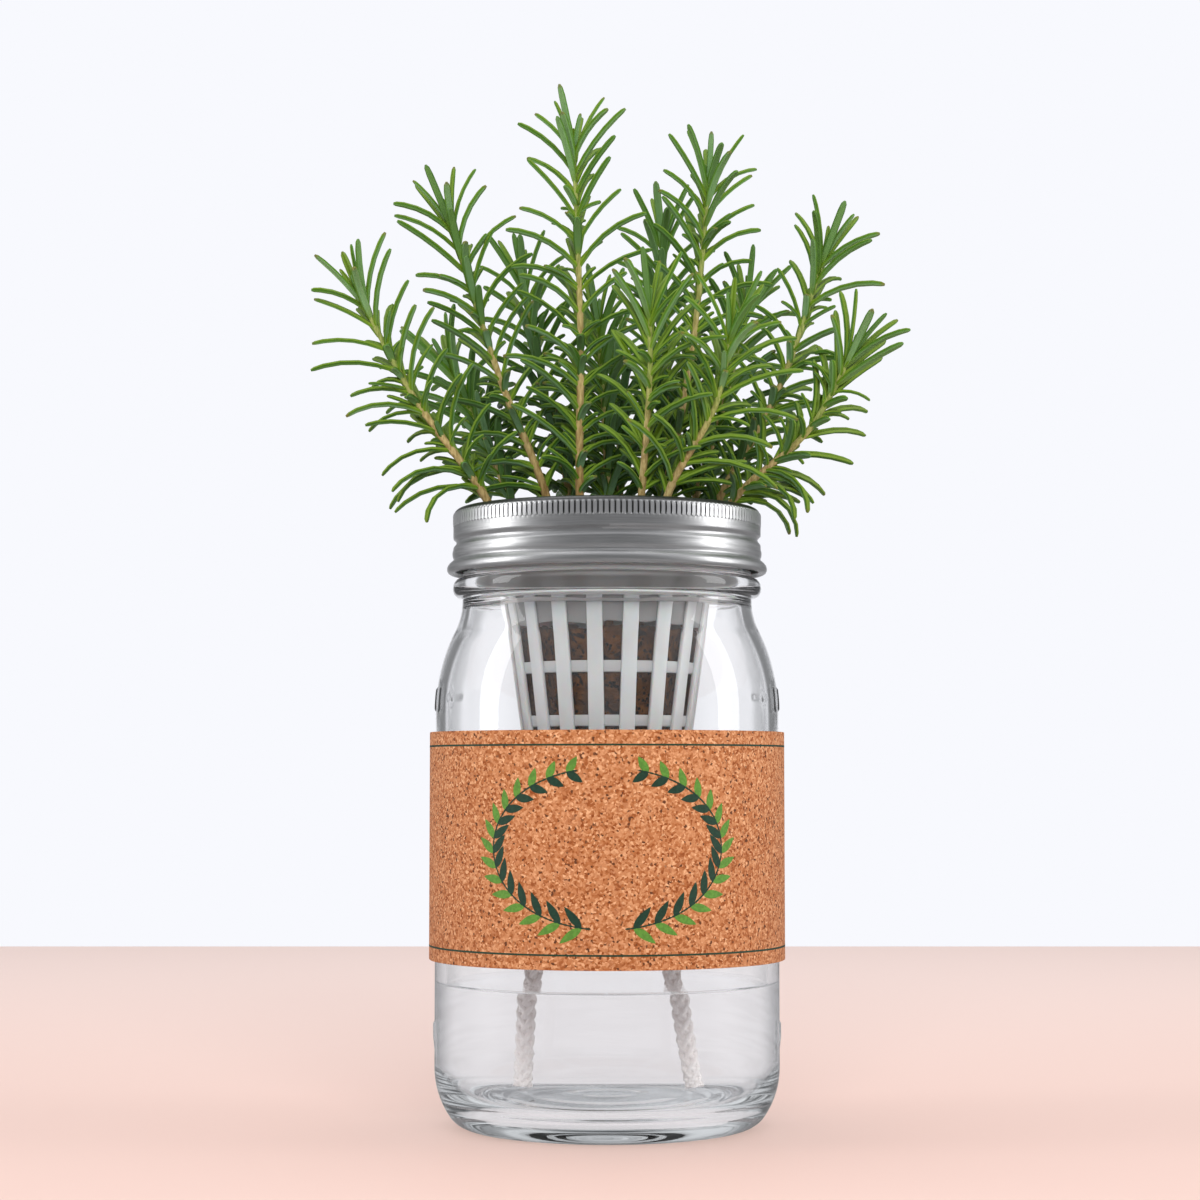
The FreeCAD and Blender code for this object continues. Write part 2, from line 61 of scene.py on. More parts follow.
def placed(name, data):
    """A new object in the scene that holds this data."""
    made = bpy.data.objects.new(name, data)
    scene.collection.objects.link(made)
    return made


camera = placed("camera", bpy.data.cameras.new("camera"))
camera.data.sensor_width = 36
camera.data.lens = 80.3
camera.location = (-2 * MM, -765 * MM, 99.1 * MM)
camera.rotation_euler = (radians(93.74), 0, 0)
scene.camera = camera
scene.view_settings.view_transform = "Standard"


# The studio: a soft lamp at each side, one high in front and one above, in a pale room that is
# dim behind the camera. Grey screens stand between its windows and give the glass its dark edges.
class Wire:
    """A shader socket. Arithmetic on it adds Math nodes, and node() adds any other node."""

    def __init__(self, tree, socket=None):
        self.tree = tree
        self.socket = socket

    def node(self, kind, sockets, settings=(), output=0):
        """A node of a kind. Its settings are made first, then its sockets are set or linked."""
        made = self.tree.nodes.new("ShaderNode" + kind)
        for name, value in dict(settings).items():
            if name == "stops":
                ramp = made.color_ramp.elements
                while len(ramp) < len(value):
                    ramp.new(1.0)
                for stop, (place, colour) in zip(ramp, value):
                    stop.position, stop.color = place, colour
            else:
                setattr(made, name, value)
        for name, value in sockets.items():
            if isinstance(value, Wire):
                self.tree.links.new(value.socket, made.inputs[name])
            else:
                made.inputs[name].default_value = value
        return Wire(self.tree, made.outputs[output])

    def other(self, output):
        """Another output of the node that this socket is on."""
        return Wire(self.tree, self.socket.node.outputs[output])

    def into(self, node, name):
        """Links this socket to a named one of a node."""
        self.tree.links.new(self.socket, node.inputs[name])

    def place(self):
        """Where a point is on the object, in metres, which stays put on a piece that moves."""
        return self.node("TexCoord", {}, output="Object")

    def level(self):
        """How high this place is."""
        return self.node("SeparateXYZ", {0: self}, output="Z")

    def from_axis(self):
        """How far this place is from the jar's axis."""
        flat = self.node("VectorMath", {0: self, 1: (1.0, 1.0, 0.0)}, {"operation": "MULTIPLY"})
        return self.node("VectorMath", {0: flat}, {"operation": "LENGTH"}, "Value")

    def stretched(self, *scale, **more):
        """This place with a scale of its own across, deep and high, which draws a pattern out."""
        return self.node("Mapping", {"Vector": self, "Scale": scale, **more})

    def noise(self, scale, detail, **more):
        """A cloudy pattern at this place."""
        return self.node("TexNoise", {"Vector": self, "Scale": scale, "Detail": detail, **more})

    def cells(self, scale):
        """A pattern of grains at this place: how far each point is from its grain's middle."""
        return self.node("TexVoronoi", {"Vector": self, "Scale": scale})

    def relief(self, shader, strength, depth):
        """Gives a shader this height as a fine relief, its depth in mm."""
        bump = self.node("Bump", {"Strength": strength, "Distance": depth * MM, "Height": self})
        bump.into(shader, "Normal")

    def maths(self, operation, *values):
        """A Math node on values or other wires."""
        return self.node("Math", dict(enumerate(values)), {"operation": operation})

    def __add__(self, other):
        return self.maths("ADD", self, other)

    def __radd__(self, other):
        return self.maths("ADD", other, self)

    def __sub__(self, other):
        return self.maths("SUBTRACT", self, other)

    def __rsub__(self, other):
        return self.maths("SUBTRACT", other, self)

    def __mul__(self, other):
        return self.maths("MULTIPLY", self, other)

    def __rmul__(self, other):
        return self.maths("MULTIPLY", other, self)

    def __truediv__(self, other):
        return self.maths("DIVIDE", self, other)

    def rise(self, low, high):
        """0 below one value and 1 above another, with a soft rise between them."""
        return self.node("MapRange", {"Value": self, "From Min": low, "From Max": high},
                         {"interpolation_type": "SMOOTHSTEP"})

    def mix(self, below, above):
        """A colour that goes from one to the other as this socket goes from 0 to 1."""
        return self.node("Mix", {0: self, 6: below, 7: above}, {"data_type": "RGBA"}, 2)


def tint(red, green, blue):
    """A colour as a screen shows it, 0 to 255, made linear for a shader."""
    return tuple(
        c / 12.92 if c <= 0.04045 else ((c + 0.055) / 1.055) ** 2.4
        for c in (red / 255, green / 255, blue / 255)) + (1.0,)


world = bpy.data.worlds.new("studio")
scene.world = world
world.use_nodes = True
world.node_tree.nodes.clear()
sky = Wire(world.node_tree)
seen = sky.node("LightPath", {})
backdrop_white, lit_room = tint(248, 249, 254), tint(208, 210, 214)
direction = sky.node("SeparateXYZ", {0: sky.node("TexCoord", {}, output="Generated")})
across_room = direction.maths("ABSOLUTE", direction)
along_room = direction.maths("ABSOLUTE", direction.other("Y"))
nearest_wall = across_room.maths("MAXIMUM", across_room, along_room)
off_axis = across_room.maths("MINIMUM", across_room, along_room) / nearest_wall
screens = off_axis.rise(0.2, 0.4) * (1 - off_axis.rise(0.62, 0.8))
level_ray = 1 - direction.maths("ABSOLUTE", direction.other("Z")).rise(0.25, 0.45)
through = (screens * level_ray).mix(backdrop_white, tint(148, 149, 151))
mirrored = direction.other("Y").rise(-0.75, -0.1).mix(tint(130, 131, 133), tint(226, 227, 230))
mirrored = direction.other("Y").rise(0.25, 0.7).mix(mirrored, tint(128, 129, 131))
mirrored = direction.other("Y").rise(0.93, 0.98).mix(mirrored, backdrop_white)
lit = seen.other("Is Glossy Ray").mix(lit_room, mirrored)
lit = seen.other("Is Transmission Ray").mix(lit, through)
lit = seen.mix(lit, backdrop_white)
ending = world.node_tree.nodes.new("ShaderNodeOutputWorld")
sky.node("Background", {"Color": lit}).into(ending, "Surface")

for lamp_name, place, size, power in (
        ("softbox_left", (-1.3, -0.14, 0.52), (0.42, 1.1), 4.9),
        ("softbox_right", (1.3, -0.07, 0.5), (0.48, 1.1), 4.9),
        ("softbox_front", (0.1, -1.2, 0.75), (0.9, 0.5), 11.0),
        ("softbox_top", (0.0, 0.25, 1.05), (0.8, 0.5), 2.2)):
    lamp = placed(lamp_name, bpy.data.lights.new(lamp_name, "AREA"))
    lamp.data.shape = "RECTANGLE"
    lamp.data.size, lamp.data.size_y = size
    lamp.data.energy = power
    lamp.location = place
    lamp.visible_glossy = lamp_name != "softbox_front"
    lamp.visible_transmission = False
    lamp.rotation_mode = "QUATERNION"
    lamp.rotation_quaternion = (Vector(place) - Vector((0, 0, 0.14))).to_track_quat("Z", "Y")


# The table: a pale top that ends behind the planter, level with the foot of the jar. Its colour carries
# painted light: paler towards the back, darker grey where metal and glass reflect it, and a painted glow
# where glass shows it through.
def finish(name, **constants):
    """A material with one shader, its even values set, and a wire to build its patterns with."""
    material = bpy.data.materials.new(name)
    material.use_nodes = True
    shader = material.node_tree.nodes["Principled BSDF"]
    for socket, value in constants.items():
        shader.inputs[socket.replace("_", " ")].default_value = value
    return material, Wire(material.node_tree), shader


def into_object(name, shape, *materials):
    """An object at the origin from a mesh in the making, with its materials."""
    mesh = bpy.data.meshes.new(name)
    shape.to_mesh(mesh)
    shape.free()
    for material in materials:
        mesh.materials.append(material)
    return placed(name, mesh)


table_half = 0.795
no_glow = (0.0, 0.0, 0.0, 1.0)
table_top, table_wire, table_shader = finish("table_top", Roughness=0.6, Emission_Strength=1.0)
table_seen = table_wire.node("LightPath", {})
# Painted reflection and glow: metal and glass show the table in a darker grey, and glass shows it
# through with a painted glow
table_painted_reflection = table_seen.other("Is Glossy Ray").mix(tint(236, 212, 203), tint(140, 138, 138))
table_painted_reflection = table_seen.other("Is Transmission Ray").mix(table_painted_reflection, tint(160, 156, 157))
table_far = table_wire.node("SeparateXYZ", {0: table_wire.place()}, output="Y")
# Painted light: the top is paler further back, to make up for the light falling off there
table_painted_far_light = table_far.rise(-0.1, 0.7).mix(tint(238, 205, 193), tint(255, 228, 218))
table_seen.mix(table_painted_reflection, table_painted_far_light).into(table_shader, "Base Color")
table_painted_glow = table_seen.other("Is Transmission Ray").mix(no_glow, tint(186, 182, 183))
table_seen.mix(table_painted_glow, no_glow).into(table_shader, "Emission Color")
table_shape = bmesh.new()
bmesh.ops.create_grid(table_shape, x_segments=4, y_segments=4, size=table_half)
table = into_object("table", table_shape, table_top)


# The glass jar: a wide-mouth preserving jar of blown clear glass, its body, shoulder and ringed
# neck turned on one axis, with a one-turn thread under the band and small raised marks at both
# sides. It stands on the table on its foot ring.
def arc(centre, radius, begin, end, count):
    """Points of an arc about a centre, between two angles in degrees above level."""
    found = []
    for step in range(count + 1):
        angle = radians(begin + (end - begin) * step / count)
        found.append((centre[0] + radius * cos(angle), centre[1] + radius * sin(angle)))
    return found


def softened(points, radius):
    """An outline with each corner rounded over by about a radius."""
    found = []
    for before, corner, after in zip(points[-1:] + points[:-1], points, points[1:] + points[:1]):
        corner = Vector(corner)
        arrive, leave = Vector(before) - corner, Vector(after) - corner
        reach = min(radius, arrive.length * 0.45, leave.length * 0.45)
        begin, end = corner + arrive.normalized() * reach, corner + leave.normalized() * reach
        found += [tuple(begin), tuple(corner * 0.5 + (begin + end) * 0.25), tuple(end)]
    return found


def turned(points, steps, closed):
    """An outline, each point a radius and a height in mm, spun about the jar's axis."""
    shape = bmesh.new()
    corners = [shape.verts.new((r * MM, 0, z * MM)) for r, z in points]
    ends = corners[1:] + corners[:1] if closed else corners[1:]
    edges = [shape.edges.new(pair) for pair in zip(corners, ends)]
    bmesh.ops.spin(shape, geom=corners + edges, cent=(0, 0, 0), axis=(0, 0, 1),
                   angle=2 * pi, steps=steps, use_merge=True)
    bmesh.ops.remove_doubles(shape, verts=shape.verts, dist=0.001 * MM)
    bmesh.ops.dissolve_degenerate(shape, edges=shape.edges, dist=0.0005 * MM)
    bmesh.ops.recalc_face_normals(shape, faces=shape.faces)
    return shape


def settle(made, body, slot, *nodes, crease=35):
    """The last step for a piece: smooth but for its edges, riding on its body in place of nodes."""
    made.data.shade_smooth()
    made.data.set_sharp_from_angle(angle=radians(crease))
    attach(made, body)
    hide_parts(*nodes)


def soft_step(value, low, high):
    """0 below one value and 1 above another, with a soft rise between them."""
    share = min(1.0, max(0.0, (value - low) / (high - low)))
    return share * share * (3 - 2 * share)


glass_columns = 288
neck, body_side, glass_wall, rim = 41.3, 48.8, 3.3, 173.3
shoulder_start, shoulder_end, shoulder_turn = 117.0, 149.4, 26.07
shoulder_round, shoulder_middle = 52.0, -3.2
hollow_round, hollow_middle, hollow_start = 21.7, 63.0, 139.86
heel_turn, heel_top = 34.4, 18.5
low_mark, high_mark, mark_proud = 26.3, 120.5, 0.4


def glass_side(height):
    """The glass's outer radius between its heel and its neck."""
    if height < shoulder_start:
        return body_side
    if height < hollow_start:
        return shoulder_middle + sqrt(shoulder_round ** 2 - (height - shoulder_start) ** 2)
    return hollow_middle - sqrt(hollow_round ** 2 - (shoulder_end - height) ** 2)


# The side has close rows where the marks stand on it and wide rows elsewhere
mark_row, shoulder_row, side_row, side_top = 0.45, 1.6, 3.5, 112
side_heights = []
height = heel_top
while height < 149.0:
    side_heights.append(height)
    near_mark = min(abs(height - low_mark), abs(height - high_mark))
    height += mark_row if near_mark < 4.2 else shoulder_row if height > side_top else side_row
jar_points = [
    (0, 1.9), (12, 1.9), (26, 1.9), (30.5, 1.7), (32.6, 1.1), (33.8, 0.35), (34.8, 0), (36.5, 0),
    *arc((38, 8), 8, -90, -heel_turn, 8),
    *arc((24.8, 17.04), 24, -heel_turn, 0, 8)[1:],
    *[(glass_side(z), z) for z in side_heights],
    (neck + 0.05, 149.1), (neck + 0.5, 149.5),
    *[(neck + 0.4 + 2.4 * cos(a * pi / 20) ** 0.7, 152.2 + 2.6 * sin(a * pi / 20))
      for a in range(-9, 10)],
    (neck + 0.35, 155.0), (neck, 155.5),
    *[(neck, 156 + 0.6 * row) for row in range(27)],
    *arc((neck - 1.2, rim - 1.2), 1.2, 0, 90, 4),
    *arc((38.8, rim - 0.8), 0.8, 90, 180, 3),
    *[(neck - glass_wall, rim - 1.5 - 3.4 * row) for row in range(7)],
    *arc((hollow_middle, shoulder_end), hollow_round + glass_wall, 180, 180 + shoulder_turn, 28)[1:],
    *arc((shoulder_middle, shoulder_start), shoulder_round - glass_wall, shoulder_turn, 0, 14)[1:],
    *[(body_side - glass_wall, side_top - 6.2 * row) for row in range(15)],
    *[(32.5 + r * cos(radians(a)), heel_top - r * sin(radians(a)))
      for a in range(0, 90, 4) for r in [13 - 0.5 * exp(-((a - 52) / 5) ** 2)]],
    (30.9, 5.55), (30, 5.85), (29.1, 5.55), (26, 5.5), (22.4, 5.5), (21.6, 5.7), (20.8, 5.5),
    (14, 5.5), (9, 5.55), (8, 5.85), (7, 5.6), (3, 5.45), (0, 5.45),
]
jar_shape = turned(jar_points, glass_columns, False)
thread_height, thread_lead, thread_rise, thread_half = 166.6, 5.08, 1.1, 1.25
for vert in jar_shape.verts:
    x, y, z = vert.co / MM
    radius = hypot(x, y)
    if radius < 1:
        continue
    outside = radius > neck - 0.2 or z < 5
    turn = degrees(atan2(x, -y))
    push = 0.0
    if outside and z > 157:
        along = thread_height + thread_lead * turn / 360
        fade = 1 - soft_step(abs(turn), 150, 178)
        push = thread_rise * fade * (1 - soft_step(abs(z - along), thread_half * 0.35, thread_half))
    elif outside and 18 < z < 130 and radius > 44:
        for middle, half_turn, level, half, proud in (
                (60.5, 4.5, high_mark, 0.8, 0.15),
                (86.0, 3.6, high_mark, 3.2, mark_proud),
                (86.0, 3.6, low_mark, 3.2, mark_proud)):
            inside = (1 - soft_step(abs(abs(turn) - middle), half_turn - 0.6, half_turn + 0.6)) \
                * (1 - soft_step(abs(z - level), half - 0.3, half + 0.3))
            push = max(push, proud * inside)
    elif not outside and 8 < z < 150:
        sway = noise.noise(Vector((x, y, z * 0.6)) / 22) + 0.4 * noise.noise(Vector((y, x, z * 0.2)) / 6)
        push = 0.18 * sway - 0.5 * exp(-((z - 147.5 - 0.8 * sway) / 0.7) ** 2)
    vert.co.x += push * x / radius * MM
    vert.co.y += push * y / radius * MM
clear_glass, glass_wire, glass_shader = finish(
    "clear_glass", Roughness=0.0, IOR=1.5, Transmission_Weight=1.0)
# Painted shade: the glass turns grey where it is seen edge-on, standing in for the dark room its edges
# reflect
glass_painted_edge_shade = glass_wire.node("LayerWeight", {"Blend": 0.5}, output="Facing")
glass_painted_edge_shade.rise(0.5, 0.8).mix(tint(252, 252, 252), tint(204, 205, 206)).into(glass_shader, "Base Color")
glass_wire.place().noise(55.0, 1.0).relief(glass_shader, 0.05, 0.4)


def let_lamps_through(material, wire, shader, colour):
    """Lamps reach what is behind a clear piece, and a ray caught inside it ends in a painted glow of
    light and dark streaks, which stands in for the light that finds its way out.
    """
    shadow = wire.node("LightPath", {}, output="Is Shadow Ray")
    depth = shadow.other("Ray Depth")
    caught = depth.maths("GREATER_THAN", depth, 7.5)
    painted_glow_streaks = wire.place().stretched(20.0, 20.0, 520.0).noise(1.0, 2.0).rise(0.38, 0.58)
    # Painted light: the clear piece glows in two greys, in streaks, where a ray has bounced too often
    # inside it
    dim = wire.node("Emission", {"Color": tint(84, 86, 88)})
    pale = wire.node("Emission", {"Color": tint(222, 224, 226)})
    glow_inside = wire.node("MixShader", {0: painted_glow_streaks, 1: dim, 2: pale})
    solid = wire.node("MixShader", {0: caught, 1: Wire(wire.tree, shader.outputs[0]), 2: glow_inside})
    open_way = wire.node("BsdfTransparent", {"Color": colour})
    both = wire.node("MixShader", {0: shadow, 1: solid, 2: open_way})
    both.into(wire.tree.nodes["Material Output"], "Surface")


let_lamps_through(clear_glass, glass_wire, glass_shader, (0.95, 0.96, 0.955, 1.0))
jar = into_object("jar_glass", jar_shape, clear_glass)
settle(jar, "jar", "glass", "glass_jar", crease=60)

# The water: it fills the lowest quarter of the jar round the ends of the wicks, wets the glass
# and climbs it a little all round.
water_level = 40.2
water_side = 45.62
water_points = [
    (0, 5.35), (28, 5.35), *arc((32.5, heel_top), 13.12, -88, 0, 14), (water_side, 24), (water_side, 32),
    (water_side, water_level + 1.0), (45.3, water_level + 0.75), (44.9, water_level + 0.35),
    (44.2, water_level + 0.12), (43, water_level + 0.03), (41, water_level), (30, water_level),
    (15, water_level), (0, water_level),
]
clear_water, water_wire, water_shader = finish(
    "clear_water", Base_Color=tint(251, 252, 253), Roughness=0.0, IOR=1.07, Transmission_Weight=1.0)
water_wire.place().noise(40.0, 0.0).relief(water_shader, 0.03, 0.5)
let_lamps_through(clear_water, water_wire, water_shader, (0.98, 0.99, 0.99, 1.0))
water = into_object("water_fill", turned(water_points, 144, False), clear_water)
settle(water, "jar", "water", "water", crease=60)


# The two wicks: braided cotton rope, eight strands round a soft core, held by the holes in the
# cup's base and hanging down into the water. Each ends in its cut end near the jar's floor.
cotton, cotton_wire, cotton_shader = finish("cotton", Roughness=0.85, Sheen_Weight=0.3)
fibre = cotton_wire.place().noise(1600.0, 3.0, Roughness=0.7)
fibre.relief(cotton_shader, 0.6, 0.15)
damp = cotton_wire.place().noise(90.0, 2.0).rise(0.45, 0.75)
cotton_colour = fibre.rise(0.3, 0.7).mix(tint(228, 219, 216), tint(252, 246, 245))
damp.mix(cotton_colour, tint(240, 230, 228)).into(cotton_shader, "Base Color")
wick_diameter, strand_count, braid_pitch = 5.5, 8, 15.0
core_radius, strand_radius, strand_reach, strand_over = 1.8, 0.92, 1.55, 0.28
wick_routes = {
    "wick_left": [(-13.0, 0.0, 99.2), (-13.2, 0.0, 86.0), (-15.8, -1.2, 72.0), (-18.6, -2.0, 58.0),
                  (-20.9, -2.6, 44.0), (-21.6, -2.4, 27.0), (-22.4, -2.8, 9.6)],
    "wick_right": [(13.0, 0.0, 99.2), (13.1, 0.0, 87.0), (14.2, -0.8, 74.0), (15.9, -1.8, 60.0),
                   (18.0, -2.4, 46.0), (20.2, -2.2, 28.0), (23.4, -2.8, 9.2)],
}


def finished_mesh(maker):
    """The mesh that an object's curve or modifiers make, with the object taken away again."""
    bpy.context.view_layer.update()
    mesh = bpy.data.meshes.new_from_object(maker.evaluated_get(bpy.context.evaluated_depsgraph_get()))
    bpy.data.objects.remove(maker)
    return mesh


def new_curve(name, bevel_steps=None):
    """A curve in space, which is a line, or a tube where it is given steps round its quarter."""
    curve = bpy.data.curves.new(name, "CURVE")
    curve.dimensions = "3D"
    if bevel_steps is not None:
        curve.bevel_depth = MM
        curve.bevel_resolution = bevel_steps
        curve.use_fill_caps = True
    return curve


def around(way, angle):
    """The direction that stands square off a line's way, at an angle round it."""
    side = way.cross(Vector((0, 1, 0))).normalized()
    lift = side.cross(way).normalized()
    return side * cos(angle) + lift * sin(angle)


def rope_line(name, route):
    """Points along the smooth line of a rope's route."""
    curve = new_curve(name + "_line")
    line = curve.splines.new("NURBS")
    line.points.add(len(route) - 1)
    for point, place in zip(line.points, route):
        point.co = (*[v * MM for v in place], 1.0)
    line.order_u = 3
    line.use_endpoint_u = True
    curve.resolution_u = 16
    return [vert.co.copy() for vert in finished_mesh(placed(name, curve)).vertices]


def travel(line):
    """How far along a line each of its points lies."""
    found = [0.0]
    for a, b in zip(line, line[1:]):
        found.append(found[-1] + (b - a).length)
    return found


def tube_splines(curve, line, radii):
    """A spline through points, with a radius at each."""
    spline = curve.splines.new("POLY")
    spline.points.add(len(line) - 1)
    for point, place, radius in zip(spline.points, line, radii):
        point.co = (*place, 1.0)
        point.radius = radius


for wick_name, route in wick_routes.items():
    line = rope_line(wick_name, route)
    braid = new_curve(wick_name + "_braid", 1)
    tube_splines(braid, line, [core_radius] * len(line))
    for strand in range(strand_count):
        way = 1 if strand % 2 else -1
        start = 2 * pi * (strand // 2) / (strand_count // 2)
        path = []
        for step, (here, far) in enumerate(zip(line, travel(line))):
            ahead_way = (line[min(step + 1, len(line) - 1)] - line[max(step - 1, 0)]).normalized()
            angle = start + way * 2 * pi * far / (braid_pitch * MM)
            over = strand_over * sin(2 * (angle * way - start) + strand * pi / 2)
            path.append(here + around(ahead_way, angle) * ((strand_reach + over) * MM))
        tube_splines(braid, path, [strand_radius] * len(path))
    wick_mesh = finished_mesh(placed(wick_name, braid))
    wick_mesh.materials.clear()
    wick_mesh.materials.append(cotton)
    wick = placed(wick_name + "_rope", wick_mesh)
    settle(wick, "cup", "cotton", wick_name, crease=70)


# The net cup: one moulding in milky polypropylene. Its flange lies on the jar's rim, its collar
# fills the neck, and a ring of slats with two hoops inside them holds the growing plug.
rim_seat, flange_top, step_height, base_height = 173.35, 174.45, 148.0, 97.7
collar_out, collar_in = 37.4, 36.2
slat_count, slat_width, slat_deep, slat_turn = 18, 4.3, 1.3, -7.0
slat_ring, slat_slope = 29.6, 0.141


def cup_side(height):
    """The outer radius of the slats at a height."""
    return slat_ring - slat_slope * (step_height - height)


def hoop(low, high, thickness):
    """A hoop on the inner side of the slats, between two heights."""
    out_low, out_high = cup_side(low) - slat_deep + 0.4, cup_side(high) - slat_deep + 0.4
    return turned(softened([(out_low - thickness - 0.4, low), (out_low, low), (out_high, high),
                            (out_high - thickness - 0.4, high)], 0.3), 96, True)


def swing(shape, turn):
    """Turns a shape about its origin's upright line, by an angle in degrees."""
    bmesh.ops.rotate(shape, verts=shape.verts, cent=(0, 0, 0),
                     matrix=Matrix.Rotation(radians(turn), 3, "Z"))


def gather(target, shape):
    """Adds a finished shape to a larger one."""
    mesh = bpy.data.meshes.new("part")
    shape.to_mesh(mesh)
    shape.free()
    target.from_mesh(mesh)
    bpy.data.meshes.remove(mesh)


step_in = cup_side(step_height) - slat_deep - 0.5
cup_shape = turned(softened([
    (collar_in, flange_top), (collar_in, 151), (step_in, step_height + 1.5), (step_in, step_height),
    (cup_side(step_height), step_height), (collar_out, 149.5), (collar_out, rim_seat),
    (42.5, rim_seat), (42.5, flange_top)], 0.35), 192, True)
for low, high in ((127.4, 130.6), (112.6, 115.8)):
    gather(cup_shape, hoop(low, high, 0.9))
web = hoop(140.4, 148.6, 0.2)
for vert in web.verts:
    if vert.co.z < 142 * MM:
        vert.co.z += 1.1 * MM * noise.noise(vert.co * 180)
gather(cup_shape, web)
for place in range(slat_count):
    slat = bmesh.new()
    bmesh.ops.create_cube(slat, size=1.0)
    for vert in slat.verts:
        high = step_height + 0.5 if vert.co.z > 0 else base_height
        radius = cup_side(high) - (0 if vert.co.y < 0 else slat_deep)
        vert.co = Vector((vert.co.x * slat_width, -radius, high)) * MM
    bmesh.ops.bevel(slat, geom=slat.edges, offset=0.28 * MM, segments=2, profile=0.5,
                    affect="EDGES", material=-1)
    swing(slat, slat_turn + 360 * place / slat_count)
    gather(cup_shape, slat)
base_rim = cup_side(base_height)
base_shape = turned([
    (0, base_height), *softened([
        (base_rim - 0.9, base_height), (cup_side(100.9) - 0.9, 100.9), (cup_side(100.9) - 2.2, 100.9),
        (base_rim - 2.4, base_height + 1.5)], 0.3), (0, base_height + 1.5)], 96, False)
base_maker = into_object("cup_base_maker", base_shape)
cutter_shape = bmesh.new()
drain_count, drain_place, drain_long, drain_wide = 8, 6.85, 4.7, 2.6
wick_hole, wick_hole_place, cut_height, cut_middle = 2.63, 13.0, 9.0, base_height + 1
for place in range(drain_count):
    slot_cut = bmesh.new()
    bmesh.ops.create_cube(slot_cut, size=1.0)
    for vert in slot_cut.verts:
        vert.co = Vector((vert.co.x * drain_long + drain_place, vert.co.y * drain_wide,
                          vert.co.z * cut_height + cut_middle)) * MM
    swing(slot_cut, 360 * place / drain_count)
    gather(cutter_shape, slot_cut)
for side in (-wick_hole_place, wick_hole_place):
    bmesh.ops.create_cone(cutter_shape, cap_ends=True, segments=32, radius1=wick_hole * MM,
                          radius2=wick_hole * MM, depth=cut_height * MM,
                          matrix=Matrix.Translation((side * MM, 0, cut_middle * MM)))
cutter = into_object("cup_base_cutter", cutter_shape)
cut = base_maker.modifiers.new("cut", "BOOLEAN")
cut.operation, cut.solver, cut.object = "DIFFERENCE", "EXACT", cutter
cup_shape.from_mesh(finished_mesh(base_maker))
bpy.data.objects.remove(cutter)
milky, milky_wire, milky_shader = finish(
    "milky_plastic", Roughness=0.32, Subsurface_Weight=0.25, Subsurface_Scale=0.004, IOR=1.49)
milky_place = milky_wire.place()
cloud = milky_place.noise(60.0, 2.0)
milky_colour = cloud.rise(0.3, 0.75).mix(tint(222, 220, 220), tint(234, 232, 232))
cup_level = milky_place.level()
# Painted shade: the hoops and the web behind the slats are greyer, and the web under the collar is
# darker grey still
shade_behind_slats = cup_level * slat_slope + cup_side(0) * MM - milky_place.from_axis()
shade_behind_slats = shade_behind_slats.rise(0.45 * MM, 0.85 * MM)
milky_colour = shade_behind_slats.mix(milky_colour, tint(206, 204, 204))
shade_in_web = shade_behind_slats * cup_level.rise(138.0 * MM, 139.0 * MM)
milky_colour = shade_in_web.mix(milky_colour, tint(148, 147, 146))
# Painted light and shade on the collar, from the step up: bands of bright and dark grey that stand in
# for the lines the ring of glass in front of it bends into view, and for the shade under the band
for low, high, painted_band_light in ((148.2, 149.0, tint(248, 246, 244)), (150.9, 151.5, tint(112, 109, 106)),
                             (152.7, 153.3, tint(236, 234, 232)), (155.4, 156.4, tint(190, 188, 186))):
    milky_colour = cup_level.rise(low * MM, high * MM).mix(milky_colour, painted_band_light)
milky_colour.into(milky_shader, "Base Color")
milky_place.noise(700.0, 1.0).relief(milky_shader, 0.15, 0.05)
glowing = milky_wire.node("BsdfTranslucent", {"Color": tint(206, 204, 203)})
milky_wire.node("MixShader", {0: 0.2, 1: Wire(milky_wire.tree, milky_shader.outputs[0]), 2: glowing}) \
    .into(milky_wire.tree.nodes["Material Output"], "Surface")
cup = into_object("cup_moulding", cup_shape, milky)
settle(cup, "cup", "cup_plastic", "net_cup", crease=50)


# The growing plug: coir and fine peat pressed and baked into a tapered block, with a ragged top
# where it was broken out of its tray. It sits on the cup's base, inside the hoops.
plug_low, plug_high, plug_gap = 99.25, 140.5, 0.85
plug_rim = cup_side(plug_high) - slat_deep - plug_gap
plug_foot = cup_side(plug_low) - slat_deep - plug_gap
plug_points = [
    *[(plug_foot * k / 6, plug_low) for k in range(6)],
    (plug_foot - 0.8, plug_low), (plug_foot - 0.1, plug_low + 0.7),
    *[(plug_foot + (plug_rim - plug_foot) * k / 44, plug_low + (plug_high - plug_low) * k / 44)
      for k in range(2, 43)],
    (plug_rim - 0.5, plug_high - 0.5),
    *[(plug_rim * k / 20, plug_high - 0.1) for k in range(19, -1, -1)],
]
plug_shape = turned(plug_points, 180, False)
for vert in plug_shape.verts:
    x, y, z = vert.co / MM
    radius = hypot(x, y)
    crumb = noise.noise(Vector((x, y, z)) / 1.7) + 0.6 * noise.noise(Vector((x, y, z)) / 0.8)
    lump = noise.noise(Vector((x, y, z)) / 7)
    high = soft_step(z, plug_high - 6, plug_high - 1)
    if z > plug_low + 1 and radius > 1:
        push = -0.22 + 0.2 * crumb - 0.25 * abs(lump)
        vert.co.x += push * x / radius * MM
        vert.co.y += push * y / radius * MM
        vert.co.z += high * (-0.7 + 0.9 * lump + 0.5 * crumb) * MM
    vert.co.z = min(vert.co.z, (plug_high - 0.02) * MM)
coir, coir_wire, coir_shader = finish("pressed_coir", Roughness=0.95)
coir_place = coir_wire.place()
grain = coir_place.noise(420.0, 4.0, Roughness=0.65)
patch = coir_place.noise(120.0, 2.0)
